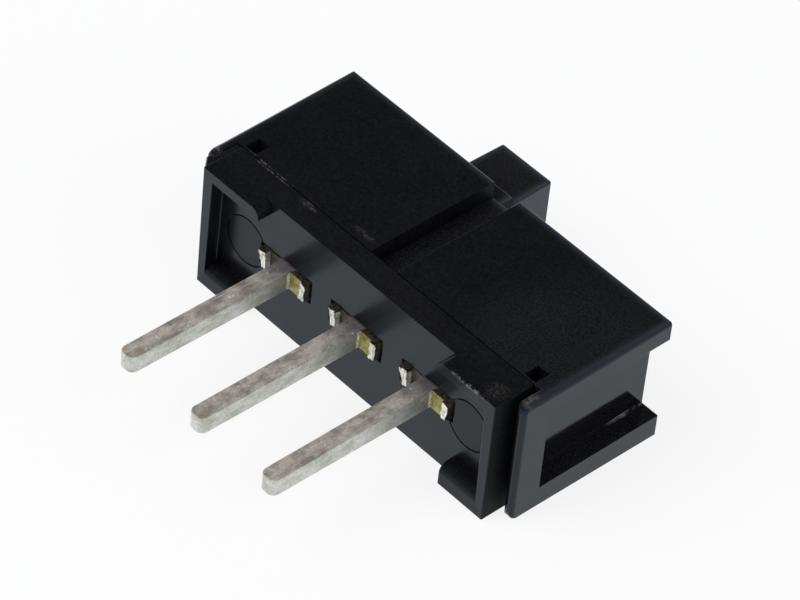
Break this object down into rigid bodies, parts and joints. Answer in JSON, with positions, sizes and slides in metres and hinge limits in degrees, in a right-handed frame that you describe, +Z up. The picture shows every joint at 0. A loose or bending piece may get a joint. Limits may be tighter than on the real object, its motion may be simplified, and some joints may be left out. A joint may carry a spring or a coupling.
{
  "type": "slide switch",
  "caption": "Small black slide switch lying on its side, with straight pins at the front and a square knob at the back.",
  "frame": {"origin": "middle of the underside of the bounding box", "axes": "+X along the body towards the knob's far end of travel, +Y from the pins to the knob, +Z up through the thickness"},
  "size_m": [0.0114, 0.0118, 0.0037],
  "materials": {
    "moulding": "black injection moulding, smooth",
    "knob": "black injection moulding, smooth",
    "terminals": "tin-plated brass sheet, satin",
    "contact": "silver-plated bronze strip",
    "spring": "drawn spring wire"
  },
  "bodies": {
    "body": {"housing": "moulding", "base": "moulding", "terminal_left": "terminals", "terminal_mid": "terminals", "terminal_right": "terminals"},
    "slider": {"slider": "knob", "bridge_contact": "contact", "contact_spring": "spring"}
  },
  "joints": [
    {"name": "knob_slide", "type": "slide", "parent": "body", "child": "slider", "axis": [1, 0, 0], "range_m": [0, 0.00254]}
  ]
}
